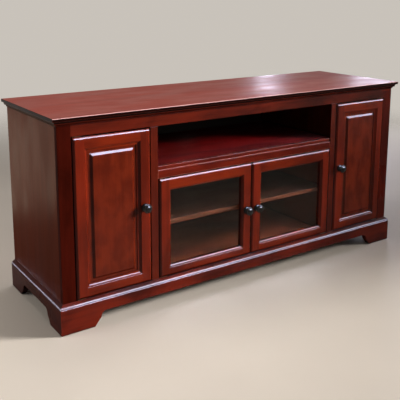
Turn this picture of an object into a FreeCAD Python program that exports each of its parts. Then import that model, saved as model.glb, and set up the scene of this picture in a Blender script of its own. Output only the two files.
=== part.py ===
import FreeCAD, Part
import math
import os

# Long low television cabinet: panelled side doors, a pair of glass doors under an open media bay,
# a moulded top, a face frame and a bracket-foot base.
# Millimetres, +Z up, front towards -Y. The origin is on the floor, at the middle of the overall
# width and of the overall depth, which runs from the knobs' tips to the back edge of the top.

# Overall sizes
top_width = 1676
top_depth = 508
overall_height = 762

# Top board and the moulding under it
top_thickness = 20
top_overhang = 20
top_back_overhang = 4
nose_height = 11
nose_arris_run = 1.1
nose_arris_drop = 1.9
nose_step = 1.5
nose_cove = 8
moulding_height = 10
moulding_lip = 2.5
moulding_reach = 10
moulding_foot = 3
bead_run = 0.4
bead_drop = 0.8
bead_height = 1.2

# Base with bracket feet
base_height = 110
base_proud = 14
base_ledge = 8
base_arch_height = 54
base_back_thickness = 18
arch_round = 20
foot_slant = 26
front_foot_width = 126
side_foot_width = 100
cap_slope_run = 9
cap_slope_drop = 6.5
cap_facet_drop = 5
cap_lip_drop = 0.8
cap_groove_width = 4
cap_groove_depth = 2
corner_block_leg = 70
glide_thickness = 2
glide_radius = 14
glide_chamfer = 0.6

# Case boards
floor_thickness = 18
end_panel_thickness = 18
partition_thickness = 18
back_thickness = 4
media_shelf_height = 542
media_shelf_thickness = 18
cable_port_radius = 30

# Face frame
frame_thickness = 18
end_stile_width = 50
mid_stile_width = 30
mid_stile_proud = 1
side_opening_width = 303
top_rail_height = 50
media_rail_height = 45
media_nose_height = 15
media_nose_setback = 4
media_nose_round = 2.5
edge_ease = 1.2
stile_ease = 0.8

# Doors, whose frames carry an eased arris, a step, a bowed slope and a flat lip round the panel or the pane
door_gap = 4
door_proud = 6
door_edge_width = 7
door_edge_depth = 5
door_stile_width = 40
panel_door_top_rail = 38
panel_door_bottom_rail = 36
glass_door_top_rail = 38
glass_door_bottom_rail = 30
panel_sticking_width = 14
glass_sticking_width = 9
arris_width = 0.8
arris_depth = 0.8
step_depth = 2.4
step_width = 2.2
slope_width = 5.2
slope_depth_share = 0.9
edge_bow_share = 0.1
front_lip = 2.5
back_lip = 5.5
panel_tongue = 7
pane_thickness = 4
groove_depth = 8
groove_room = 1
panel_margin = 10
panel_bevel = 7.5
panel_step = 1
field_setback = 3

# Pivot hinges at the top and bottom of each door's hinge edge
pivot_inset = 8
pivot_setback = 10
pin_radius = 2
pin_clearance = 0.05
pin_reach = 10
pin_bore_room = 0.5
collar_radius = 3.5
thrust_clearance = 0.2
case_leaf_thickness = 1.5
door_leaf_thickness = 2.5
leaf_margin = 3
leaf_length = 30
leaf_width = 8

# Magnetic catches, their strikes and the knobs
strike_thickness = 1.7
strike_gap = 0.3
strike_width = 16
strike_height = 13
strike_margin = 3
catch_width = 24
catch_depth = 14
catch_drop = 22
catch_hold = 12
catch_chamfer = 1.5
knob_reach = 33
knob_head_radius = 17
knob_inset = 25
knob_rose_radius = 14
knob_neck_radius = 8
knob_rim_bulge = 1.2
knob_rose_share = 0.09
knob_neck_end_share = 0.36
knob_rim_low_share = 0.6
knob_rim_high_share = 0.72
knob_dome_start_share = 0.745
knob_ring_share = 0.82
bolt_radius = 2
bolt_clearance = 0.05
bolt_into_knob = 10
bolt_end_room = 1
bolt_head_radius = 4
bolt_head_height = 2.5

# Shelves and the pins that carry them
shelf_thickness = 16
shelf_setback = 40
shelf_side_room = 1
shelf_back_room = 3
centre_shelf_height = 316
side_shelf_height = 410
shelf_pin_radius = 2.5
shelf_pin_clearance = 0.05
shelf_pin_hole_depth = 8
shelf_pin_inset = 50
tongue_length = 9
tongue_width = 9
tongue_thickness = 3

# How far cutting shapes run past the faces that they cut
overrun = 5
same_place = 1e-6

# Places worked out from the sizes
half_case = top_width / 2 - top_overhang
case_depth = top_depth - top_overhang - top_back_overhang
case_front = (door_proud + knob_reach - case_depth - top_back_overhang) / 2
case_back = case_front + case_depth
frame_back = case_front + frame_thickness
inside_back = case_back - back_thickness
case_top = overall_height - top_thickness
case_bottom = base_height - floor_thickness
end_stile_inner = half_case - end_stile_width
end_panel_inner = half_case - end_panel_thickness
mid_stile_outer = end_stile_inner - side_opening_width
centre_opening_width = 2 * (mid_stile_outer - mid_stile_width)
mid_stile_inner = centre_opening_width / 2
partition_middle = (mid_stile_inner + mid_stile_outer) / 2
partition_inner = partition_middle - partition_thickness / 2
partition_outer = partition_middle + partition_thickness / 2
top_rail_bottom = case_top - top_rail_height
media_rail_bottom = media_shelf_height - media_rail_height
door_front = case_front - door_proud
door_thickness = frame_thickness + door_proud - strike_thickness - strike_gap
door_back = door_front + door_thickness
door_bottom = base_height + door_gap
side_door_top = top_rail_bottom - door_gap
glass_door_top = media_rail_bottom - door_gap
pivot_y = door_front + pivot_setback
ROOT_HALF = math.sqrt(0.5)


def box(x0, x1, y0, y1, z0, z1):
    """Block between two corners, given as low and high along each axis."""
    return Part.makeBox(x1 - x0, y1 - y0, z1 - z0, FreeCAD.Vector(x0, y0, z0))


def rounded(start, end, corner):
    """Arc step from start to end that bulges towards the corner."""
    middle = tuple(s + e - c + (2 * c - s - e) * ROOT_HALF for s, e, c in zip(start, end, corner))
    return (middle, end)


def hollowed(start, end, corner):
    """Arc step from start to end that hollows away from the corner."""
    middle = tuple(c + (s + e - 2 * c) * ROOT_HALF for s, e, c in zip(start, end, corner))
    return (middle, end)


def bowed(start, end, corner):
    """Arc step from start to end that swells a little from the straight line towards the corner."""
    middle = tuple((s + e) / 2 + edge_bow_share * (c - (s + e) / 2) for s, e, c in zip(start, end, corner))
    return (middle, end)


def path_end(path):
    """Last point of a path, whose steps are points or arcs given as middle and end."""
    last = path[-1]
    return last[1] if isinstance(last[0], tuple) else last


def path_edges(path, place):
    """Edges along a path; place turns a point of the path into a point in space."""
    edges = []
    start = path[0]
    for step in path[1:]:
        if isinstance(step[0], tuple):
            middle, end = step
            edges.append(Part.Arc(place(*start), place(*middle), place(*end)).toShape())
        else:
            end = step
            edges.append(Part.LineSegment(place(*start), place(*end)).toShape())
        start = end
    return edges


def closed_face(path, place):
    """Flat face inside a path that closes on its first point."""
    return Part.Face(Part.Wire(path_edges(path + [path[0]], place)))


def face_between(low_path, high_path, place):
    """Flat face between two open paths, closed from start to start and from end to end."""
    edges = path_edges(low_path, place) + path_edges(high_path, place)
    edges += path_edges([low_path[0], high_path[0]], place)
    edges += path_edges([path_end(low_path), path_end(high_path)], place)
    return Part.Face(Part.Wire(Part.__sortEdges__(edges)))


def along_x(face_maker, x0, x1):
    """Solid drawn in Y and Z and extruded from x0 to x1."""
    face = face_maker(lambda y, z: FreeCAD.Vector(x0, y, z))
    return face.extrude(FreeCAD.Vector(x1 - x0, 0, 0))


def along_y(face_maker, y0, y1):
    """Solid drawn in X and Z and extruded from y0 to y1."""
    face = face_maker(lambda x, z: FreeCAD.Vector(x, y0, z))
    return face.extrude(FreeCAD.Vector(0, y1 - y0, 0))


def along_z(face_maker, z0, z1):
    """Solid drawn in X and Y and extruded from z0 to z1."""
    face = face_maker(lambda x, y: FreeCAD.Vector(x, y, z0))
    return face.extrude(FreeCAD.Vector(0, 0, z1 - z0))


def framed(path, low, high, bottom, top):
    """Solid with the same moulded edge, drawn as a path, on all four sides of its front."""
    upright = along_z(lambda place: face_between(path(low, 1), path(high, -1), place), bottom, top)
    level = along_x(lambda place: face_between(path(bottom, 1), path(top, -1), lambda z, y: place(y, z)),
                    low, high)
    return upright.common(level)


def cylinder(radius, start, end):
    """Round bar between two points on its axis."""
    base = FreeCAD.Vector(*start)
    run = FreeCAD.Vector(*end) - base
    return Part.makeCylinder(radius, run.Length, base, run)


def edges_at(shape, x=None, y=None, z=None):
    """Edges whose ends all lie at the given coordinates."""
    wanted = [(axis, value) for axis, value in enumerate((x, y, z)) if value is not None]
    found = []
    for edge in shape.Edges:
        points = [vertex.Point for vertex in edge.Vertexes]
        if all(abs(point[axis] - value) < same_place for point in points for axis, value in wanted):
            found.append(edge)
    return found


def save(name, *solids):
    """Write one node, a single solid or a group of like solids."""
    shape = solids[0] if len(solids) == 1 else Part.makeCompound(solids)
    shape.exportStep("parts/" + name + ".step")


def signed_range(side, inner, outer):
    """Low and high X of a piece between inner and outer on the left (-1) or right (1) side."""
    return sorted((side * inner, side * outer))


def top_edge_path(edge, inward):
    """Moulded edge of the top board, from its upper face down to its lower face."""
    nose_bottom = overall_height - nose_height
    upper = (edge + inward * nose_arris_run, overall_height)
    side = (edge, overall_height - nose_arris_drop)
    step = (edge + inward * nose_step, nose_bottom)
    foot = (edge + inward * (nose_step + nose_cove), case_top)
    path = [upper, bowed(upper, side, (edge, overall_height)), (edge, nose_bottom), step]
    return path + [hollowed(step, foot, (step[0], case_top))]


def make_top():
    """Top board, moulded along the front and both ends, square at the back."""
    half_top = top_width / 2
    front = case_front - top_overhang
    back = case_back + top_back_overhang
    back_path = [(back, overall_height), (back, case_top)]
    across = along_y(lambda place: face_between(top_edge_path(-half_top, 1),
                                                top_edge_path(half_top, -1), place), front, back)
    lengthwise = along_x(lambda place: face_between(top_edge_path(front, 1), back_path, place),
                         -half_top, half_top)
    save("top_panel", across.common(lengthwise))


def mitred_front(profile, outer, inner):
    """Front strip of a mitred surround; profile gives distance out from the case and height."""
    strip = along_x(lambda place: closed_face(profile, lambda out, z: place(case_front - out, z)),
                    -(half_case + outer), half_case + outer)
    plan = [(-(half_case + outer), case_front - outer), (half_case + outer, case_front - outer),
            (half_case - inner, case_front + inner), (-(half_case - inner), case_front + inner)]
    return strip.common(along_z(lambda place: closed_face(plan, place), -overrun, overall_height))


def mitred_side(profile, outer, inner, side):
    """End strip of a mitred surround, on the left (-1) or right (1), square at the back."""
    strip = along_y(lambda place: closed_face(profile, lambda out, z: place(side * (half_case + out), z)),
                    case_front - outer, case_back)
    outer_x = side * (half_case + outer)
    inner_x = side * (half_case - inner)
    plan = [(outer_x, case_front - outer), (inner_x, case_front + inner), (inner_x, case_back),
            (outer_x, case_back)]
    return strip.common(along_z(lambda place: closed_face(plan, place), -overrun, overall_height))


def make_top_mouldings():
    """Coved strips with a small bead at the foot, under the top's overhang on the front and both ends."""
    lip = (moulding_reach, case_top - moulding_lip)
    bottom = case_top - moulding_height
    bead = (moulding_foot + bead_run, bottom + bead_height)
    cove_foot = (moulding_foot, bead[1] + bead_drop)
    profile = [(0, case_top), (moulding_reach, case_top), lip,
               hollowed(lip, cove_foot, (moulding_reach, cove_foot[1])), bead, (bead[0], bottom),
               (0, bottom)]
    save("top_moulding_front", mitred_front(profile, moulding_reach, 0))
    save("top_moulding_left", mitred_side(profile, moulding_reach, 0, -1))
    save("top_moulding_right", mitred_side(profile, moulding_reach, 0, 1))


def arch_path(edge, inward):
    """One end of the cut-out between two bracket feet, from the floor up to its flat top."""
    slant_top = (edge + inward * foot_slant, base_arch_height - arch_round)
    arch_start = (slant_top[0] + inward * arch_round, base_arch_height)
    path = [(edge, -overrun), (edge, glide_thickness), slant_top]
    return path + [rounded(slant_top, arch_start, (slant_top[0], base_arch_height))]


def make_base():
    """Base boards with a moulded upper edge, a ledge for the case and bracket feet."""
    slope_foot = (cap_slope_run, base_height - cap_slope_drop)
    facet_foot = (base_proud, slope_foot[1] - cap_facet_drop)
    groove_top = facet_foot[1] - cap_lip_drop
    groove_bottom = groove_top - cap_groove_width
    groove_middle = (base_proud - cap_groove_depth, (groove_top + groove_bottom) / 2)
    profile = [(0, base_height), slope_foot, bowed(slope_foot, facet_foot, (base_proud, slope_foot[1])),
               (base_proud, groove_top), groove_middle, (base_proud, groove_bottom),
               (base_proud, glide_thickness), (-base_ledge, glide_thickness), (-base_ledge, case_bottom),
               (0, case_bottom)]
    outer = half_case + base_proud
    front = case_front - base_proud
    arch_half = outer - front_foot_width
    front_arch = along_y(lambda place: face_between(arch_path(-arch_half, 1),
                                                    arch_path(arch_half, -1), place),
                         front - overrun, case_front + base_ledge + overrun)
    save("base_front", mitred_front(profile, base_proud, base_ledge).cut(front_arch))
    side_arch = along_x(lambda place: face_between(arch_path(front + side_foot_width, 1),
                                                   arch_path(case_back - side_foot_width, -1), place),
                        -(outer + overrun), outer + overrun)
    save("base_left", mitred_side(profile, base_proud, base_ledge, -1).cut(side_arch))
    save("base_right", mitred_side(profile, base_proud, base_ledge, 1).cut(side_arch))
    board_inner = half_case - base_ledge
    back_board_front = inside_back - base_back_thickness
    save("base_back", box(-board_inner, board_inner, back_board_front, inside_back,
                          base_arch_height, case_bottom))
    blocks = []
    glides = []
    for side in (-1, 1):
        for corner_y, inward in ((case_front + base_ledge, 1), (back_board_front, -1)):
            corner_x = side * board_inner
            plan = [(corner_x, corner_y), (corner_x - side * corner_block_leg, corner_y),
                    (corner_x, corner_y + inward * corner_block_leg)]
            blocks.append(along_z(lambda place: closed_face(plan, place), glide_thickness, case_bottom))
            inset = corner_block_leg * (1 - ROOT_HALF)
            x = corner_x - side * inset
            y = corner_y + inward * inset
            glide = cylinder(glide_radius, (x, y, 0), (x, y, glide_thickness))
            glides.append(glide.makeChamfer(glide_chamfer, edges_at(glide, z=0)))
    save("corner_blocks", *blocks)
    save("floor_glides", *glides)


def shelf_pin_places(low_face, high_face, height):
    """Root and direction of the four pins under a shelf between two upright faces."""
    middle_z = height - shelf_thickness - tongue_thickness / 2
    front_y = case_front + shelf_setback + shelf_pin_inset
    back_y = inside_back - shelf_back_room - shelf_pin_inset
    return [(x, y, middle_z, out) for x, out in ((low_face, 1), (high_face, -1)) for y in (front_y, back_y)]


def shelf_pin(place):
    """Round pin in an upright's hole with a flat tongue under the shelf."""
    x, y, z, out = place
    root = cylinder(shelf_pin_radius, (x - out * shelf_pin_hole_depth, y, z), (x, y, z))
    x0, x1 = sorted((x, x + out * tongue_length))
    tongue = box(x0, x1, y - tongue_width / 2, y + tongue_width / 2,
                 z - tongue_thickness / 2, z + tongue_thickness / 2)
    return root.fuse(tongue).removeSplitter()


def shelf_pin_hole(place):
    """Blind hole for one pin."""
    x, y, z, out = place
    hole_end = x - out * (shelf_pin_hole_depth + shelf_pin_clearance)
    return cylinder(shelf_pin_radius + shelf_pin_clearance, (hole_end, y, z), (x + out * overrun, y, z))


def make_shelf(name, low_face, high_face, height):
    """Loose shelf between two uprights, resting on its pins."""
    front = case_front + shelf_setback
    board = box(low_face + shelf_side_room, high_face - shelf_side_room, front,
                inside_back - shelf_back_room, height - shelf_thickness, height)
    save(name, board.makeFillet(edge_ease, edges_at(board, y=front)))
    return shelf_pin_places(low_face, high_face, height)


def make_case():
    """Upright boards, floor, media shelf, backs and adjustable shelves."""
    pins = make_shelf("left_shelf", -end_panel_inner, -partition_outer, side_shelf_height)
    pins += make_shelf("centre_shelf", -partition_inner, partition_inner, centre_shelf_height)
    pins += make_shelf("right_shelf", partition_outer, end_panel_inner, side_shelf_height)
    save("shelf_pins", *[shelf_pin(place) for place in pins])
    for side, name in ((-1, "left"), (1, "right")):
        x0, x1 = signed_range(side, end_panel_inner, half_case)
        panel = box(x0, x1, frame_back, case_back, case_bottom, case_top)
        x0, x1 = signed_range(side, partition_inner, partition_outer)
        partition = box(x0, x1, frame_back, inside_back, base_height, case_top)
        for place in pins:
            if place[0] == side * end_panel_inner:
                panel = panel.cut(shelf_pin_hole(place))
            elif place[0] * side > 0:
                partition = partition.cut(shelf_pin_hole(place))
        save(name + "_end_panel", panel)
        save(name + "_partition", partition)
        x0, x1 = signed_range(side, partition_middle, end_panel_inner)
        save(name + "_back_panel", box(x0, x1, inside_back, case_back, case_bottom, case_top))
    save("cabinet_floor", box(-end_panel_inner, end_panel_inner, frame_back, inside_back,
                              case_bottom, base_height))
    save("media_shelf", box(-partition_inner, partition_inner, frame_back, inside_back,
                            media_shelf_height - media_shelf_thickness, media_shelf_height))
    back = box(-partition_middle, partition_middle, inside_back, case_back, case_bottom, case_top)
    bay_middle = (media_shelf_height + case_top) / 2
    compartment_middle = (centre_shelf_height + media_shelf_height - media_shelf_thickness) / 2
    for z in (bay_middle, compartment_middle):
        port = cylinder(cable_port_radius, (0, inside_back - overrun, z), (0, case_back + overrun, z))
        back = back.cut(port)
    save("centre_back_panel", back)


def make_face_frame():
    """Stiles and rails across the front of the case."""
    for side, name in ((-1, "left"), (1, "right")):
        x0, x1 = signed_range(side, end_stile_inner, half_case)
        stile = box(x0, x1, case_front, frame_back, case_bottom, case_top)
        outer_arris = edges_at(stile, y=case_front, x=side * half_case)
        save(name + "_end_stile", stile.makeFillet(edge_ease, outer_arris))
        x0, x1 = signed_range(side, mid_stile_inner, mid_stile_outer)
        front = case_front - mid_stile_proud
        stile = box(x0, x1, front, frame_back, base_height, top_rail_bottom)
        save(name + "_mid_stile", stile.makeFillet(stile_ease, edges_at(stile, y=front)))
    rail = box(-end_stile_inner, end_stile_inner, case_front, frame_back, top_rail_bottom, case_top)
    save("top_rail", rail.makeFillet(edge_ease, edges_at(rail, y=case_front, z=top_rail_bottom)))
    save("bottom_rail", box(-end_stile_inner, end_stile_inner, case_front, frame_back,
                            case_bottom, base_height))
    ledge = media_shelf_height - media_nose_height
    nose_front = case_front + media_nose_setback
    profile = [(case_front, media_rail_bottom), (case_front, ledge), (nose_front, ledge),
               (nose_front, media_shelf_height), (frame_back, media_shelf_height),
               (frame_back, media_rail_bottom)]
    rail = along_x(lambda place: closed_face(profile, place), -mid_stile_inner, mid_stile_inner)
    noses = edges_at(rail, y=case_front, z=ledge) + edges_at(rail, y=nose_front, z=media_shelf_height)
    save("media_shelf_rail", rail.makeFillet(media_nose_round, noses))


def door_edge_path(edge, inward):
    """Outer edge of a door, from its front face round to its back face."""
    face = (edge + inward * door_edge_width, door_front)
    side = (edge, door_front + door_edge_depth)
    return [face, bowed(face, side, (edge, door_front)), (edge, door_back)]


def opening_path(edge, inward, sticking):
    """Moulded inner edge of a door's frame, as wide as sticking, from in front of it to behind it."""
    lip_front = door_back - back_lip - panel_tongue - front_lip
    arris = edge + inward * arris_width
    step = door_front + step_depth
    brow = (arris + inward * step_width, step)
    slope_foot = (brow[0] + inward * slope_width, step + slope_depth_share * (lip_front - step))
    daylight = edge + inward * sticking
    return [(edge, door_front - overrun), (edge, door_front), (arris, door_front + arris_depth),
            (arris, step), brow, bowed(brow, slope_foot, (slope_foot[0], step)), (daylight, lip_front),
            (daylight, door_back + overrun)]


def panel_path(edge, inward):
    """Raised panel's section, from its field's front face out to the back of its tongue."""
    tongue_back = door_back - back_lip
    tongue_front = tongue_back - panel_tongue
    bevel_foot = edge + inward * (groove_depth - groove_room + panel_margin)
    field = bevel_foot + inward * panel_bevel
    field_front = door_front + field_setback
    return [(field, field_front), (field, field_front + panel_step), (bevel_foot, tongue_front),
            (edge, tongue_front), (edge, tongue_back)]


def knob(x, z):
    """Turned knob with a round-shouldered rose, a neck and a ringed, domed head."""
    def level(share):
        return share * knob_reach
    shoulder = knob_rose_radius - knob_neck_radius
    shoulder_foot = (knob_rose_radius, level(knob_rose_share))
    shoulder_middle = (knob_neck_radius + shoulder * ROOT_HALF, shoulder_foot[1] + shoulder * ROOT_HALF)
    neck_start = (knob_neck_radius, shoulder_foot[1] + shoulder)
    neck_end = (knob_neck_radius, level(knob_neck_end_share))
    rim_low = (knob_head_radius - knob_rim_bulge, level(knob_rim_low_share))
    rim_high = (rim_low[0], level(knob_rim_high_share))
    rim_middle = (knob_head_radius, (rim_low[1] + rim_high[1]) / 2)
    dome_start = (knob_head_radius * knob_ring_share, level(knob_dome_start_share))
    dome_height = knob_reach - dome_start[1]
    dome_radius = (dome_start[0] ** 2 + dome_height ** 2) / (2 * dome_height)
    half_angle = math.asin(dome_start[0] / dome_radius) / 2
    dome_middle = (dome_radius * math.sin(half_angle), knob_reach - dome_radius * (1 - math.cos(half_angle)))
    path = [(0, 0), (knob_rose_radius, 0), shoulder_foot, (shoulder_middle, neck_start), neck_end,
            hollowed(neck_end, rim_low, (rim_low[0], neck_end[1])), (rim_middle, rim_high),
            (dome_start[0], rim_high[1]), dome_start, (dome_middle, (0, knob_reach))]
    face = closed_face(path, lambda radius, out: FreeCAD.Vector(x + radius, door_front - out, z))
    turned = face.revolve(FreeCAD.Vector(x, door_front, z), FreeCAD.Vector(0, 1, 0), 360)
    bore_end = door_front - bolt_into_knob - bolt_end_room
    return turned.cut(cylinder(bolt_radius + bolt_clearance, (x, door_front + overrun, z), (x, bore_end, z)))


def hinge(edge, inward, door_edge, up):
    """Case leaf with its pin, door leaf, and the door stile's mortise with its pin bore.

    edge is the door's hinge edge in X and inward points from it into the door. door_edge is the
    height of the door's end and up is 1 at the door's top, -1 at its bottom.
    """
    case_face = door_edge + up * door_gap
    leaf_x = sorted((edge + inward * leaf_margin, edge + inward * (leaf_margin + leaf_length)))
    leaf_y = (pivot_y - leaf_width / 2, pivot_y + leaf_width / 2)
    axis_x = edge + inward * pivot_inset

    def on_axis(radius, z0, z1):
        return cylinder(radius, (axis_x, pivot_y, z0), (axis_x, pivot_y, z1))

    plate_face = case_face - up * case_leaf_thickness
    plate = box(*leaf_x, *leaf_y, *sorted((case_face, plate_face)))
    collar = on_axis(collar_radius, plate_face, door_edge + up * thrust_clearance)
    pin = on_axis(pin_radius, plate_face, door_edge - up * pin_reach)
    case_leaf = plate.fuse([collar, pin]).removeSplitter()
    mortise = box(*leaf_x, *leaf_y, *sorted((door_edge, door_edge - up * door_leaf_thickness)))
    pin_hole = on_axis(pin_radius + pin_clearance, door_edge + up * overrun, door_edge - up * overrun)
    bore = on_axis(pin_radius + pin_bore_room, door_edge, door_edge - up * (pin_reach + pin_bore_room))
    return case_leaf, mortise.cut(pin_hole), mortise.fuse(bore)


def make_door(name, low, high, top, top_rail, bottom_rail, hinge_side, glazed):
    """One door: mitred-moulding frame, panel or pane, knob, hinge leaves, strike and knob bolt.

    Returns the pieces that belong to the case: two hinge leaves and the catch.
    """
    blank = framed(door_edge_path, low, high, door_bottom, top)
    face_low = low + door_stile_width
    face_high = high - door_stile_width
    face_bottom = door_bottom + bottom_rail
    face_top = top - top_rail
    sticking = glass_sticking_width if glazed else panel_sticking_width
    cutter = framed(lambda edge, inward: opening_path(edge, inward, sticking),
                    face_low, face_high, face_bottom, face_top)
    infill = pane_thickness if glazed else panel_tongue
    groove_back = door_back - back_lip
    reach = sticking - groove_depth
    groove = box(face_low + reach, face_high - reach, groove_back - infill, groove_back,
                 face_bottom + reach, face_top - reach)
    frame = blank.cut(cutter).cut(groove)

    def member(plan):
        return frame.common(along_y(lambda place: closed_face(plan, place), door_front, door_back))

    day_bottom = face_bottom + sticking
    day_top = face_top - sticking

    def stile(outer, face, inward):
        day = face + inward * sticking
        return member([(outer, door_bottom), (face, door_bottom), (face, face_bottom), (day, day_bottom),
                       (day, day_top), (face, face_top), (face, top), (outer, top)])

    def rail(outer, face, day):
        return member([(face_low, outer), (face_high, outer), (face_high, face),
                       (face_high - sticking, day), (face_low + sticking, day), (face_low, face)])

    stiles = {-1: stile(low, face_low, 1), 1: stile(high, face_high, -1)}
    edges = {-1: low, 1: high}
    lock_side = -hinge_side
    upper = hinge(edges[hinge_side], lock_side, top, 1)
    lower = hinge(edges[hinge_side], lock_side, door_bottom, -1)
    knob_x = edges[lock_side] - lock_side * knob_inset
    knob_z = (door_bottom + top) / 2
    bolt_hole = cylinder(bolt_radius + bolt_clearance, (knob_x, door_front - overrun, knob_z),
                         (knob_x, door_back + overrun, knob_z))
    save(name + "_hinge_stile", stiles[hinge_side].cut(upper[2]).cut(lower[2]))
    save(name + "_lock_stile", stiles[lock_side].cut(bolt_hole))
    save(name + "_top_rail", rail(top, face_top, day_top))
    save(name + "_bottom_rail", rail(door_bottom, face_bottom, day_bottom))
    edge_low = face_low + reach + groove_room
    edge_high = face_high - reach - groove_room
    edge_bottom = face_bottom + reach + groove_room
    edge_top = face_top - reach - groove_room
    if glazed:
        save(name + "_glass", box(edge_low, edge_high, groove_back - infill, groove_back,
                                  edge_bottom, edge_top))
    else:
        save(name + "_panel", framed(panel_path, edge_low, edge_high, edge_bottom, edge_top))
    save(name + "_knob", knob(knob_x, knob_z))
    strike_top = top - strike_margin
    strike = box(knob_x - strike_width / 2, knob_x + strike_width / 2,
                 door_back, door_back + strike_thickness, strike_top - strike_height, strike_top)
    bolt = cylinder(bolt_radius, (knob_x, door_front - bolt_into_knob, knob_z), (knob_x, door_back, knob_z))
    bolt_head = cylinder(bolt_head_radius, (knob_x, door_back, knob_z),
                         (knob_x, door_back + bolt_head_height, knob_z))
    save(name + "_fittings", upper[1], lower[1], strike, bolt.fuse(bolt_head).removeSplitter())
    rail_bottom = top + door_gap
    catch = box(knob_x - catch_width / 2, knob_x + catch_width / 2, frame_back, frame_back + catch_depth,
                rail_bottom - catch_drop, rail_bottom + catch_hold)
    catch = catch.makeChamfer(catch_chamfer, edges_at(catch, y=frame_back + catch_depth))
    return upper[0], lower[0], catch


def make_doors():
    """Two panelled doors at the ends and two glass doors in the middle."""
    side_low = mid_stile_outer + door_gap
    side_high = end_stile_inner - door_gap
    glass_low = door_gap / 2
    glass_high = mid_stile_inner - door_gap
    panel_rails = (panel_door_top_rail, panel_door_bottom_rail)
    glass_rails = (glass_door_top_rail, glass_door_bottom_rail)
    case_pieces = [
        make_door("left_door", -side_high, -side_low, side_door_top, *panel_rails, -1, False),
        make_door("left_glass_door", -glass_high, -glass_low, glass_door_top, *glass_rails, -1, True),
        make_door("right_glass_door", glass_low, glass_high, glass_door_top, *glass_rails, 1, True),
        make_door("right_door", side_low, side_high, side_door_top, *panel_rails, 1, False)]
    save("case_hinge_leaves", *[leaf for pieces in case_pieces for leaf in pieces[:2]])
    save("magnetic_catches", *[pieces[2] for pieces in case_pieces])


os.makedirs("parts", exist_ok=True)
make_top()
make_top_mouldings()
make_base()
make_case()
make_face_frame()
make_doors()
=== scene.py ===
import math

import bpy
from mathutils import Matrix, Vector


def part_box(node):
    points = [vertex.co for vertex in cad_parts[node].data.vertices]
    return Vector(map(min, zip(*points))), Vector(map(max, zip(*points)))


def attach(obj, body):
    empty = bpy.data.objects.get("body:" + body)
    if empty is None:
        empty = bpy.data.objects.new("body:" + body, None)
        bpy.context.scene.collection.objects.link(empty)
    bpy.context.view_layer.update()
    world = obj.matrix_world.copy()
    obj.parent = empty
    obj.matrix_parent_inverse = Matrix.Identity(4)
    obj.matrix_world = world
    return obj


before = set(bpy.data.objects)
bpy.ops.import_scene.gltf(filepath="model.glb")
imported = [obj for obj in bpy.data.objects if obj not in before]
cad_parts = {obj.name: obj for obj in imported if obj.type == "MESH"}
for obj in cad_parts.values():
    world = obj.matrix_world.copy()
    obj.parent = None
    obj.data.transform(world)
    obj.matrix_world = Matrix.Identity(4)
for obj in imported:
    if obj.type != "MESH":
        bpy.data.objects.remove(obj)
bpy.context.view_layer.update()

# Metres, +Z up, front towards -Y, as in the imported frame. Tones are written as 0 to 255.
# A range gives where a ramp starts and where it is full.

# Camera, taken for a square image; the sensor in millimetres
image_side = 400
camera_place = (-1.6276, -2.2357, 1.1632)
camera_azimuth = math.radians(-34.39)
camera_elevation = math.radians(10.877)
camera_roll = math.radians(0.164)
focal_length_pixels = 665.2
camera_shift = -0.2
sensor_width = 36

# Studio: a pale floor that fades into a plain pale surround
floor_radius = 9
floor_steps = 96
floor_fade_range = (1.7, 4.6)
floor_colour = (0.72, 0.65, 0.57)
floor_mottle_share = 0.97
floor_bounce_share = 0.18
backdrop_colour = (0.58, 0.54, 0.49)
ambient_strength = 0.18

# Lamps: place, the point that they face, size, power in watts and colour
warm_light = (1.0, 0.97, 0.94)
cool_light = (0.80, 0.81, 1.0)
tan_light = (1.0, 0.84, 0.63)
blue_light = (0.70, 0.76, 1.0)
lamps = {
    "key": ((3.6, -2.9, 2.2), (-1.4, -0.2, 0.4), (1.2, 1.2), 27, warm_light),
    "front_fill": ((-1.3, -2.4, 2.4), (-0.5, -0.2, 0.4), (2.0, 1.4), 1.5, warm_light),
    "top_light": ((-0.2, 0.5, 2.8), (-0.2, 0.4, 0.76), (2.0, 0.8), 19, warm_light),
    "end_fill": ((-3.0, 0.7, 1.5), (-0.83, 0.05, 0.42), (1.4, 1.4), 24, warm_light),
    "window_near": ((2.29, 2.39, 1.21), (0.24, -0.04, 0.76), (0.12, 0.9), 5.8, cool_light),
    "window_far": ((3.05, 1.77, 1.14), (0.79, -0.17, 0.76), (0.35, 0.9), 14.5, cool_light),
    "front_highlight_left": ((1.05, -2.0, 2.7), (1.05, -2.0, 0), (2.1, 1.2), 670, blue_light),
    "front_highlight_right": ((3.2, -2.0, 2.7), (3.2, -2.0, 0), (2.2, 1.2), 330, blue_light),
    "cap_highlight": ((-2.3, 2.5, 0.42), (-0.83, 0, 0.1), (0.6, 0.35), 190, cool_light),
    "end_sheen": ((-1.2, 0.95, 0.32), (-0.83, 0, 0.5), (1.0, 0.52), 4.1, tan_light)}
key_beam = math.radians(35)
# Lamps that show only as highlights, and the CAD nodes that they reach
below_top = [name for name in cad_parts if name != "top_panel"]
highlight_reach = {
    "front_highlight_left": below_top, "front_highlight_right": below_top,
    "cap_highlight": ["base_left", "base_front"], "end_sheen": ["left_end_panel"]}

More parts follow.
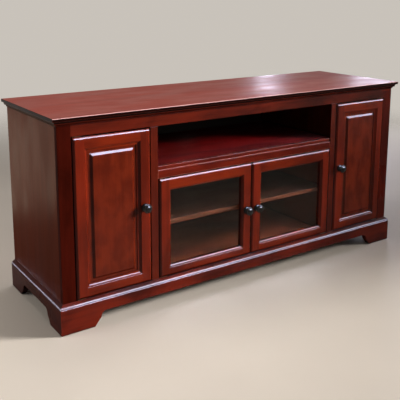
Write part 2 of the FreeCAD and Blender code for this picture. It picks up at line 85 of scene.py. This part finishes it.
# Stained wood: darkest and brightest tone, grain axis, grain style, roughness and specular level
wood_finishes = {
    "top": ((124, 42, 30), (140, 53, 40), "x", "veneer", 0.4, 0.06),
    "moulding_x": ((52, 11, 5), (74, 20, 9), "x", "straight", 0.25, 0.02),
    # The side mouldings' grey-brown tone is a painted reflection of the pale surround, the sheen that the end
    # panels get from a lamp
    "moulding_y": ((58, 32, 16), (74, 44, 24), "y", "straight", 0.34, 0.03),
    "end_stile": ((44, 9, 4), (66, 16, 8), "z", "straight", 0.3, 0.01),
    # The right end stile gets its own brighter copy of the end stiles' finish: painted light, for the light
    # that it gets too little of
    "right_stile": ((70, 17, 8), (98, 27, 14), "z", "straight", 0.3, 0.05),
    "mid_stile": ((66, 16, 7), (102, 29, 12), "z", "straight", 0.18, 0.15),
    "frame_rail": ((52, 10, 4), (98, 26, 10), "x", "straight", 0.18, 0.15),
    "media_rail": ((80, 18, 8), (110, 30, 15), "x", "straight", 0.14, 0.12),
    "door_stile": ((86, 21, 7), (120, 33, 13), "z", "straight", 0.16, 0.15),
    "door_rail": ((84, 20, 6), (128, 38, 12), "x", "straight", 0.16, 0.15),
    "door_panel": ((86, 23, 8), (107, 33, 13), "z", "mottled", 0.16, 0.15),
    "side": ((82, 28, 10), (92, 33, 13), "z", "veneer", 0.34, 0.01),
    "base_x": ((66, 13, 5), (114, 30, 12), "x", "straight", 0.16, 0.15),
    "base_y": ((60, 17, 9), (80, 26, 14), "y", "straight", 0.3, 0.03),
    "inside_x": ((74, 33, 19), (96, 45, 28), "x", "straight", 0.45, 0.1),
    "inside_z": ((62, 19, 8), (84, 28, 13), "z", "straight", 0.45, 0.1),
    "loose_shelf": ((40, 19, 12), (54, 27, 18), "x", "straight", 0.45, 0.1),
    "media_shelf": ((80, 14, 13), (118, 25, 23), "x", "straight", 0.5, 0.06)}
# Blotches per metre along and across the grain, share of the figure in the tone, and how far the blotches waver
grain_styles = {"straight": ((3.6, 8.0), 0.3, 0.7), "veneer": ((1.4, 9.0), 0.5, 0.25),
                "mottled": ((12.0, 20.0), 0.25, 0.3)}
# Finer patterns per metre, along and across the grain
figure_scale = (2.4, 48)
fibre_scale = (8, 380)
pore_scale = (40, 1100)
haze_scale = (5, 11)
noise_middle = (0.3, 0.7)
tone_range = (0.36, 0.64)
fibre_range = (0.35, 0.75)
pore_range = (0.60, 0.74)
# How strongly fibres and pores show, and their share of the darkest tone
fibre_share = 0.16
fibre_tone_share = 0.4
pore_share = 0.3
pore_tone_share = 0.25
# Height that the figure adds to the surface and pores take off it
figure_relief = 0.5
pore_relief = 0.5
# Roughness that haze takes off or adds, and that pores and corners add
haze_polish = 0.05
haze_dulling = 0.06
pore_dulling = 0.12
corner_dulling = 0.45
corner_dulling_range = (0.2, 0.55)
# Dark glaze and painted shade in corners and grooves: their reach, and the share of the colour that they leave
glaze_and_shade_reach = 0.014
glaze_and_shade_range = (0.45, 0.9)
glaze_and_shade_shares = {"door_panel": 0.35, "door_stile": 0.06, "door_rail": 0.06}
plain_glaze_and_shade_share = 0.12
# Edges, smoothed by rubbing: axis of the face's normal, its range, and the edge's tone; on the top that tone is
# painted shade on its edge faces, on the loose shelves a paler front edge
edge_roughness = 0.2
edge_shade_and_tones = {"top": (2, (0.95, 0.55), (25, 4, 2)), "loose_shelf": (1, (-0.6, -0.95), (80, 44, 31))}
# The top's front arris, pale from wear and given a painted highlight: the normal's axes and ranges, and the
# tone
arris_highlight_ranges = ((2, (0.25, 0.4)), (2, (0.8, 0.6)), (1, (-0.3, -0.5)))
arris_highlight_tone = (232, 184, 184)
# Painted highlights on edges: tone, how strongly it shows and its reach; elsewhere edges are pale from wear,
# their plain tone the wood's own, gained and lifted
painted_edge_highlights = {"media_rail": ((222, 128, 108), 0.9, 0.003)}
plain_wear_share = 0.3
plain_wear_reach = 0.0015
plain_wear_gain = 1.6
plain_wear_lift = 0.003
edge_mask_range = (0.995, 0.85)
ray_samples = 6
# How far each piece's patterns are moved apart
piece_shift = (17.0, 29.0, 41.0)

# The media bay's back: painted shade darkens its inner face above the media shelf
bay_back_shade_tone = (26, 11, 7)
bay_floor_height = 0.54

# Finishes of the CAD nodes, by name and then by the ending of the name
node_finishes = {
    "top_panel": "top", "top_moulding_front": "moulding_x", "top_moulding_left": "moulding_y",
    "top_moulding_right": "moulding_y", "right_end_stile": "right_stile", "top_rail": "frame_rail",
    "bottom_rail": "frame_rail", "media_shelf_rail": "media_rail", "media_shelf": "media_shelf",
    "cabinet_floor": "inside_x", "left_partition": "inside_z", "right_partition": "inside_z",
    "left_shelf": "loose_shelf", "centre_shelf": "loose_shelf", "right_shelf": "loose_shelf",
    "base_front": "base_x", "base_back": "base_x", "base_left": "base_y", "base_right": "base_y",
    "case_hinge_leaves": "steel", "shelf_pins": "steel", "magnetic_catches": "catch",
    "floor_glides": "nylon", "corner_blocks": "pine"}
ending_finishes = {
    "_glass": "glass", "_knob": "bronze", "_fittings": "steel", "_back_panel": "board", "_end_panel": "side",
    "_end_stile": "end_stile", "_mid_stile": "mid_stile", "_rail": "door_rail", "_panel": "door_panel",
    "_stile": "door_stile"}

# Small fittings at the back: brads measured from the back panels' edges, cable ports from the floor,
# and profiles as radius and height off the back face
brad_inset = 0.008
brad_spacing = 0.12
brad_profile = ((0.0012, 0.0008), (0.0024, 0.0006), (0.003, 0.0))
port_heights = (0.642, 0.42)
grommet_profile = (
    (0.0286, 0.0012), (0.0332, 0.0012), (0.0346, 0.0006), (0.035, 0.0), (0.0299, 0.0),
    (0.0299, -0.004), (0.0345, -0.004), (0.0341, -0.0046), (0.0328, -0.0052), (0.0286, -0.0052))
turned_steps = 24


def srgb(red, green, blue):
    """Linear colour of a tone by the sRGB curve, with full alpha."""
    def linear(level):
        share = level / 255
        return share / 12.92 if share <= 0.04045 else ((share + 0.055) / 1.055) ** 2.4
    return (linear(red), linear(green), linear(blue), 1)


def darker(colour, share):
    """The same colour at a share of its strength."""
    return tuple(level * share for level in colour[:3]) + (1,)


def circle_turns(steps):
    """Evenly spaced angles round a circle."""
    return [2 * math.pi * step / steps for step in range(steps)]


class Shader:
    """Node tree of one material, built a node at a time."""

    # Sockets of the mix node for a share and two colours, and for the mixed colour
    mix_inputs = (0, 6, 7)
    mix_output = 2

    def __init__(self, name):
        self.material = bpy.data.materials.new(name)
        self.material.use_nodes = True
        self.tree = self.material.node_tree
        self.surface = self.tree.nodes["Principled BSDF"]

    def link_or_set(self, socket, value):
        """Link a socket to an input, or set the input to a value."""
        if isinstance(value, bpy.types.NodeSocket):
            self.tree.links.new(value, socket)
        else:
            socket.default_value = value

    def add(self, kind, inputs=None, **settings):
        """New node with its settings and inputs, which are values or sockets."""
        node = self.tree.nodes.new("ShaderNode" + kind)
        for name, value in settings.items():
            setattr(node, name, value)
        for name, value in (inputs or {}).items():
            self.link_or_set(node.inputs[name], value)
        return node

    def finish(self, **inputs):
        """Set inputs of the surface; an underscore stands for a space."""
        for name, value in inputs.items():
            self.link_or_set(self.surface.inputs[name.replace("_", " ")], value)
        return self.material

    def mix_surface(self, share, first, second):
        """Send a mix of two shaders to the output."""
        mixed = self.add("MixShader", {0: share, 1: first, 2: second}).outputs[0]
        self.tree.links.new(mixed, self.tree.nodes["Material Output"].inputs["Surface"])
        return self.material

    def object_place(self):
        """Object coordinates, which are the frame's."""
        return self.add("TexCoord").outputs["Object"]

    def place(self):
        """Object coordinates, moved by a different amount on each piece."""
        coordinates = self.object_place()
        chance = self.add("ObjectInfo").outputs["Random"]
        shift = self.scaled(chance, piece_shift)
        return self.add("VectorMath", {0: coordinates, 1: shift}, operation="ADD").outputs[0]

    def scaled(self, vector, scale):
        """Vector multiplied by a scale for each axis."""
        return self.add("VectorMath", {0: vector, 1: scale}, operation="MULTIPLY").outputs[0]

    def noise(self, vector, scale=1.0, detail=3.0, roughness=0.5, distortion=0.0):
        """Noise from 0 to 1, mostly about its middle."""
        return self.add("TexNoise", {"Vector": vector, "Scale": scale, "Detail": detail, "Roughness": roughness,
                                     "Distortion": distortion}).outputs["Fac"]

    def math(self, operation, first, second):
        """Sum, product or the like of two values."""
        return self.add("Math", {0: first, 1: second}, operation=operation).outputs[0]

    def ranged(self, value, span, out=(0.0, 1.0)):
        """Smooth ramp over a range of the value."""
        return self.add("MapRange", {"Value": value, "From Min": span[0], "From Max": span[1], "To Min": out[0],
                                     "To Max": out[1]}, interpolation_type="SMOOTHSTEP").outputs[0]

    def mix(self, share, first, second, blend="MIX"):
        """Mix of two colours."""
        node = self.add("Mix", data_type="RGBA", blend_type=blend)
        for socket, value in zip(self.mix_inputs, (share, first, second)):
            self.link_or_set(node.inputs[socket], value)
        return node.outputs[self.mix_output]

    def shaded(self, colour, level):
        """Colour multiplied by a level."""
        grey = self.add("CombineColor", {0: level, 1: level, 2: level}).outputs[0]
        return self.mix(1.0, colour, grey, "MULTIPLY")

    def facing(self, axis, span):
        """Ramp over a range of the face's normal along an axis."""
        normal = self.add("NewGeometry").outputs["Normal"]
        return self.ranged(self.add("SeparateXYZ", {0: normal}).outputs[axis], span)

    def corner_shade(self, distance):
        """1 in the open, falling towards 0 in corners and grooves."""
        return self.add("AmbientOcclusion", {"Distance": distance}, samples=ray_samples).outputs["AO"]

    def edge_mask(self, radius):
        """0 on flat faces, rising at sharp or tightly rounded edges."""
        rounded = self.add("Bevel", {"Radius": radius}, samples=ray_samples).outputs[0]
        flat = self.add("NewGeometry").outputs["Normal"]
        facing = self.add("VectorMath", {0: rounded, 1: flat}, operation="DOT_PRODUCT").outputs["Value"]
        return self.ranged(facing, edge_mask_range)

    def bump(self, height, strength, distance):
        """Normal of a surface raised by a height."""
        return self.add("Bump", {"Height": height, "Strength": strength, "Distance": distance}).outputs[0]


def along(grain, lengthwise, across):
    """Scale vector of a pattern that is drawn out along one axis."""
    return tuple(lengthwise if axis == grain else across for axis in "xyz")


def wear_and_highlight_of(name, bright):
    """Colour of a finish's edges, how strongly it shows and its reach: pale from wear, and on the media rail a
    painted highlight.
    """
    if name in painted_edge_highlights:
        tone, share, reach = painted_edge_highlights[name]
        return srgb(*tone), share, reach
    paler = tuple(min(1.0, level * plain_wear_gain + plain_wear_lift) for level in bright[:3]) + (1,)
    return paler, plain_wear_share, plain_wear_reach


def stained_wood(name):
    """Stained and lacquered wood: blotches, figure and pores along the grain, dark glaze and painted shade in
    corners.
    """
    deep_tone, bright_tone, grain, style, roughness, specular = wood_finishes[name]
    blotch_scale, figure_share, waver = grain_styles[style]
    deep = srgb(*deep_tone)
    bright = srgb(*bright_tone)
    s = Shader("stained_wood_" + name)
    place = s.place()
    blotch = s.noise(s.scaled(place, along(grain, *blotch_scale)), distortion=waver)
    figure = s.noise(s.scaled(place, along(grain, *figure_scale)), detail=4, roughness=0.55, distortion=0.4)
    fibres = s.noise(s.scaled(place, along(grain, *fibre_scale)))
    pores = s.noise(s.scaled(place, along(grain, *pore_scale)), detail=2)
    tone = s.math("ADD", s.math("MULTIPLY", blotch, 1 - figure_share),
                  s.math("MULTIPLY", figure, figure_share))
    colour = s.mix(s.ranged(tone, tone_range), deep, bright)
    colour = s.mix(s.ranged(fibres, fibre_range, (0.0, fibre_share)), colour, darker(deep, fibre_tone_share))
    flecks = s.ranged(pores, pore_range)
    colour = s.mix(s.math("MULTIPLY", flecks, pore_share), colour, darker(deep, pore_tone_share))
    # On the top this darkens the edge faces with painted shade
    if name in edge_shade_and_tones:
        axis, span, edge_shade_and_tone = edge_shade_and_tones[name]
        edge = s.facing(axis, span)
        colour = s.mix(edge, colour, srgb(*edge_shade_and_tone))
    # Painted highlight along the top's front arris, with its paleness from wear
    if name == "top":
        upper, lower, front = [s.facing(axis, span) for axis, span in arris_highlight_ranges]
        rubbed_and_highlight = s.math("MULTIPLY", s.math("MULTIPLY", upper, lower), front)
        colour = s.mix(rubbed_and_highlight, colour, srgb(*arris_highlight_tone))
    # Painted shade with dark glaze: corners, grooves and gaps darkened by ambient occlusion
    open_share = s.corner_shade(glaze_and_shade_reach)
    glaze_and_shade_share = glaze_and_shade_shares.get(name, plain_glaze_and_shade_share)
    colour = s.shaded(colour, s.ranged(open_share, glaze_and_shade_range, (glaze_and_shade_share, 1.0)))
    # Edges paled by wear, and on the media rail by a painted highlight
    wear_and_highlight, wear_and_highlight_share, wear_and_highlight_reach = wear_and_highlight_of(name, bright)
    colour = s.mix(s.math("MULTIPLY", s.edge_mask(wear_and_highlight_reach), wear_and_highlight_share), colour, wear_and_highlight)
    haze = s.noise(s.scaled(place, along(grain, *haze_scale)), detail=2)
    shine = s.math("ADD", s.ranged(haze, noise_middle, (roughness - haze_polish, roughness + haze_dulling)),
                   s.math("MULTIPLY", flecks, pore_dulling))
    shine = s.math("ADD", shine, s.ranged(open_share, corner_dulling_range, (corner_dulling, 0.0)))
    if name in edge_shade_and_tones:
        shine = s.math("SUBTRACT", shine, s.math("MULTIPLY", edge, roughness - edge_roughness))
    relief = s.math("SUBTRACT", s.math("MULTIPLY", figure, figure_relief),
                    s.math("MULTIPLY", flecks, pore_relief))
    return s.finish(Base_Color=colour, Roughness=shine, Specular_IOR_Level=specular,
                    Normal=s.bump(relief, strength=0.08, distance=0.0004))


def clear_glass():
    """Clear float glass that lets the lamps through, with a faint haze."""
    tint = srgb(226, 222, 212)
    shadow_tint = srgb(225, 228, 218)
    haze_range = (0.45, 0.8)
    most_haze = 0.05
    s = Shader("clear_glass")
    haze = s.ranged(s.noise(s.place(), scale=14, detail=4), haze_range, (0.0, most_haze))
    s.finish(Base_Color=tint, Roughness=haze, IOR=1.23, Transmission_Weight=1.0)
    through = s.add("BsdfTransparent", {"Color": shadow_tint}).outputs[0]
    return s.mix_surface(s.add("LightPath").outputs["Is Shadow Ray"], s.surface.outputs[0], through)


def bronze():
    """Dark oiled bronze, brighter on its edges from wear and from a painted highlight."""
    dark = srgb(16, 15, 17)
    light = srgb(34, 31, 31)
    rubbed_and_highlight = srgb(168, 160, 156)
    patina_range = (0.35, 0.7)
    rub_and_highlight_reach = 0.0016
    rub_and_highlight_share = 0.8
    roughness_range = (0.12, 0.22)
    s = Shader("knob_bronze")
    place = s.place()
    patina = s.ranged(s.noise(place, scale=160, detail=4), patina_range)
    colour = s.mix(patina, dark, light)
    # Pale edges: partly wear, partly painted highlight
    colour = s.mix(s.math("MULTIPLY", s.edge_mask(rub_and_highlight_reach), rub_and_highlight_share), colour, rubbed_and_highlight)
    fine = s.noise(place, scale=900, detail=2)
    return s.finish(Base_Color=colour, Metallic=0.5, Specular_IOR_Level=0.5,
                    Roughness=s.ranged(patina, (0.0, 1.0), roughness_range),
                    Normal=s.bump(fine, strength=0.08, distance=0.0002))


def antique_steel():
    """Pressed steel with an antique brown plating and fine rolling marks."""
    dark = srgb(70, 54, 42)
    light = srgb(104, 84, 66)
    mark_scale = (60, 1400)
    roughness_range = (0.32, 0.46)
    s = Shader("hinge_steel")
    marks = s.noise(s.scaled(s.place(), along("x", *mark_scale)))
    colour = s.mix(s.ranged(marks, noise_middle), dark, light)
    return s.finish(Base_Color=colour, Metallic=0.9, Specular_IOR_Level=0.2,
                    Roughness=s.ranged(marks, noise_middle, roughness_range),
                    Normal=s.bump(marks, strength=0.08, distance=0.0002))


def moulded(name, dark, light, roughness):
    """Moulded plastic with a fine spark-eroded grain."""
    roughness_change = 0.06
    s = Shader(name)
    place = s.place()
    grain = s.noise(place, scale=1500, detail=2)
    colour = s.mix(s.ranged(s.noise(place, scale=70), noise_middle), dark, light)
    shine = s.ranged(grain, noise_middle, (roughness - roughness_change, roughness + roughness_change))
    return s.finish(Base_Color=colour, Roughness=shine, Specular_IOR_Level=0.1,
                    Normal=s.bump(grain, strength=0.12, distance=0.0002))


def hardboard():
    """Brown printed hardboard with a faint pressed texture, its inner face darkened by painted shade inside the
    media bay.
    """
    dark = srgb(146, 64, 40)
    light = srgb(168, 78, 49)
    fleck = srgb(70, 47, 36)
    board_figure_scale = (3, 40)
    fleck_range = (0.5, 0.75)
    fleck_share = 0.15
    inward_range = (-0.5, -0.9)
    roughness_range = (0.55, 0.7)
    s = Shader("back_board")
    place = s.place()
    figure = s.noise(s.scaled(place, along("z", *board_figure_scale)), detail=5, roughness=0.6, distortion=0.4)
    fibres = s.noise(place, scale=420)
    colour = s.mix(s.ranged(figure, noise_middle), dark, light)
    colour = s.mix(s.math("MULTIPLY", s.ranged(fibres, fleck_range), fleck_share), colour, fleck)
    # Painted shade on the back's inner face within the media bay
    height = s.add("SeparateXYZ", {0: s.object_place()}).outputs[2]
    bay_shade = s.math("MULTIPLY", s.math("GREATER_THAN", height, bay_floor_height), s.facing(1, inward_range))
    colour = s.mix(bay_shade, colour, srgb(*bay_back_shade_tone))
    return s.finish(Base_Color=colour, Roughness=s.ranged(fibres, noise_middle, roughness_range),
                    Specular_IOR_Level=0.3, Normal=s.bump(fibres, strength=0.2, distance=0.0003))


def bare_pine():
    """Unfinished softwood of the glue blocks."""
    dark = srgb(150, 110, 70)
    light = srgb(178, 140, 96)
    ring_scale = (4, 120)
    ring_range = (0.35, 0.65)
    roughness_range = (0.6, 0.75)
    s = Shader("block_wood")
    rings = s.noise(s.scaled(s.place(), along("z", *ring_scale)), detail=4, distortion=0.5)
    colour = s.mix(s.ranged(rings, ring_range), dark, light)
    return s.finish(Base_Color=colour, Roughness=s.ranged(rings, noise_middle, roughness_range),
                    Normal=s.bump(rings, strength=0.2, distance=0.0004))


def finish_for(node):
    """Name of a CAD node's finish."""
    if node in node_finishes:
        return node_finishes[node]
    return next(finish for ending, finish in ending_finishes.items() if node.endswith(ending))


def dress_nodes():
    """Give every CAD node its finish; returns the materials by finish."""
    materials = {name: stained_wood(name) for name in wood_finishes}
    materials.update({
        "board": hardboard(), "pine": bare_pine(), "glass": clear_glass(), "bronze": bronze(),
        "steel": antique_steel(),
        "catch": moulded("catch_plastic", srgb(44, 32, 26), srgb(62, 46, 36), roughness=0.5),
        "nylon": moulded("glide_nylon", srgb(196, 190, 176), srgb(222, 216, 202), roughness=0.45)})
    for name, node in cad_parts.items():
        node.data.materials.clear()
        node.data.materials.append(materials[finish_for(name)])
    return materials


def spaced(start, end, spacing):
    """Evenly spaced values from start to end, about spacing apart."""
    count = max(1, round((end - start) / spacing))
    return [start + (end - start) * step / count for step in range(count + 1)]


def turned_pieces(name, profile, places, closed, material):
    """One mesh of like pieces turned about Y, each set out towards the back from its place on the case."""
    steps = turned_steps
    turns = circle_turns(steps)
    vertices = []
    faces = []
    for x, y, z in places:
        first = len(vertices)
        vertices += [(x + radius * math.sin(turn), y + out, z + radius * math.cos(turn))
                     for radius, out in profile for turn in turns]
        rings = [first + ring * steps for ring in range(len(profile))]
        pairs = list(zip(rings, rings[1:] + rings[:1])) if closed else list(zip(rings, rings[1:]))
        faces += [(low + step, low + (step + 1) % steps, high + (step + 1) % steps, high + step)
                  for low, high in pairs for step in range(steps)]
        if not closed:
            faces.append([rings[0] + step for step in reversed(range(steps))])
    mesh = bpy.data.meshes.new(name)
    mesh.from_pydata(vertices, [], faces)
    mesh.materials.append(material)
    piece = bpy.data.objects.new(name, mesh)
    bpy.context.scene.collection.objects.link(piece)
    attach(piece, "cabinet")


def add_back_fittings(materials):
    """Brads round the back panels and grommets in the cable ports."""
    places = []
    for name in ("left_back_panel", "centre_back_panel", "right_back_panel"):
        (x0, _, z0), (x1, back, z1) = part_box(name)
        xs = spaced(x0 + brad_inset, x1 - brad_inset, brad_spacing)
        zs = spaced(z0 + brad_inset, z1 - brad_inset, brad_spacing)
        places += [(x, back, z) for x in xs for z in (zs[0], zs[-1])]
        places += [(x, back, z) for x in (xs[0], xs[-1]) for z in zs[1:-1]]
    turned_pieces("back_brads", brad_profile, places, False, materials["steel"])
    ports = [(0, back, height) for height in port_heights]
    turned_pieces("cable_grommets", grommet_profile, ports, True, materials["catch"])


def add_floor():
    """Round floor that fades out into the surround.

    It is pale to the eye, to glass and to reflections, and dimmer in the light that it throws back.
    """
    mesh = bpy.data.meshes.new("studio_floor")
    mesh.from_pydata([(floor_radius * math.cos(turn), floor_radius * math.sin(turn), 0)
                      for turn in circle_turns(floor_steps)], [], [range(floor_steps)])
    floor = bpy.data.objects.new("studio_floor", mesh)
    bpy.context.scene.collection.objects.link(floor)
    s = Shader("studio_floor")
    spot = s.object_place()
    mottle = s.ranged(s.noise(spot, scale=3, detail=4), noise_middle)
    colour = s.mix(mottle, darker(floor_colour, floor_mottle_share), floor_colour + (1,))
    path = s.add("LightPath").outputs
    seen = s.math("MAXIMUM", s.math("MAXIMUM", path["Is Camera Ray"], path["Is Glossy Ray"]),
                  path["Is Transmission Ray"])
    colour = s.mix(seen, darker(floor_colour, floor_bounce_share), colour)
    s.finish(Base_Color=colour, Roughness=0.6, Specular_IOR_Level=0.2)
    distance = s.add("VectorMath", {0: spot}, operation="LENGTH").outputs["Value"]
    faded = s.ranged(distance, floor_fade_range)
    clear = s.add("BsdfTransparent").outputs[0]
    floor.data.materials.append(s.mix_surface(faded, s.surface.outputs[0], clear))


def add_world():
    """Pale surround: dim as a lamp, full to the eye, to glass and to reflections."""
    world = bpy.data.worlds.new("studio")
    bpy.context.scene.world = world
    world.use_nodes = True
    tree = world.node_tree
    background = tree.nodes["Background"]
    background.inputs["Color"].default_value = backdrop_colour + (1,)
    path = tree.nodes.new("ShaderNodeLightPath")
    seen = path.outputs["Is Camera Ray"]
    for other in ("Is Glossy Ray", "Is Transmission Ray"):
        either = tree.nodes.new("ShaderNodeMath")
        either.operation = "MAXIMUM"
        tree.links.new(seen, either.inputs[0])
        tree.links.new(path.outputs[other], either.inputs[1])
        seen = either.outputs[0]
    strength = tree.nodes.new("ShaderNodeMapRange")
    strength.inputs["To Min"].default_value = ambient_strength
    strength.inputs["To Max"].default_value = 1.0
    tree.links.new(seen, strength.inputs["Value"])
    tree.links.new(strength.outputs[0], background.inputs["Strength"])


def add_area_light(name, place, target, size, power, colour):
    """Rectangular softbox that faces a point."""
    data = bpy.data.lights.new(name, "AREA")
    data.shape = "RECTANGLE"
    data.size, data.size_y = size
    data.energy = power
    data.color = colour
    lamp = bpy.data.objects.new(name, data)
    lamp.location = place
    lamp.rotation_euler = (Vector(target) - Vector(place)).to_track_quat("-Z", "Y").to_euler()
    bpy.context.scene.collection.objects.link(lamp)
    return lamp


def flag_lamp(lamp, nodes):
    """Let a lamp reach only some CAD nodes."""
    lit = bpy.data.collections.new(lamp.name + "_reach")
    for name in nodes:
        lit.objects.link(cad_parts[name])
    lamp.light_linking.receiver_collection = lit


def add_lights():
    """Key, fills and window panes; highlight lamps that give nothing but sheen, each to its own nodes."""
    placed = {name: add_area_light(name, *settings) for name, settings in lamps.items()}
    placed["key"].data.spread = key_beam
    placed["key"].visible_glossy = False
    for name, nodes in highlight_reach.items():
        placed[name].visible_diffuse = False
        flag_lamp(placed[name], nodes)


def add_camera():
    """Camera at the photograph's viewing angle."""
    back = Vector((math.sin(camera_azimuth) * math.cos(camera_elevation),
                   -math.cos(camera_azimuth) * math.cos(camera_elevation), math.sin(camera_elevation)))
    data = bpy.data.cameras.new("camera")
    data.sensor_width = sensor_width
    data.lens = focal_length_pixels * sensor_width / image_side
    data.shift_y = camera_shift
    camera = bpy.data.objects.new("camera", data)
    turn = (-back).to_track_quat("-Z", "Y").to_matrix().to_4x4() @ Matrix.Rotation(camera_roll, 4, "Z")
    camera.matrix_world = Matrix.Translation(camera_place) @ turn
    bpy.context.scene.collection.objects.link(camera)
    bpy.context.scene.camera = camera


add_back_fittings(dress_nodes())
add_floor()
add_world()
add_lights()
add_camera()
bpy.context.scene.view_settings.view_transform = "Standard"
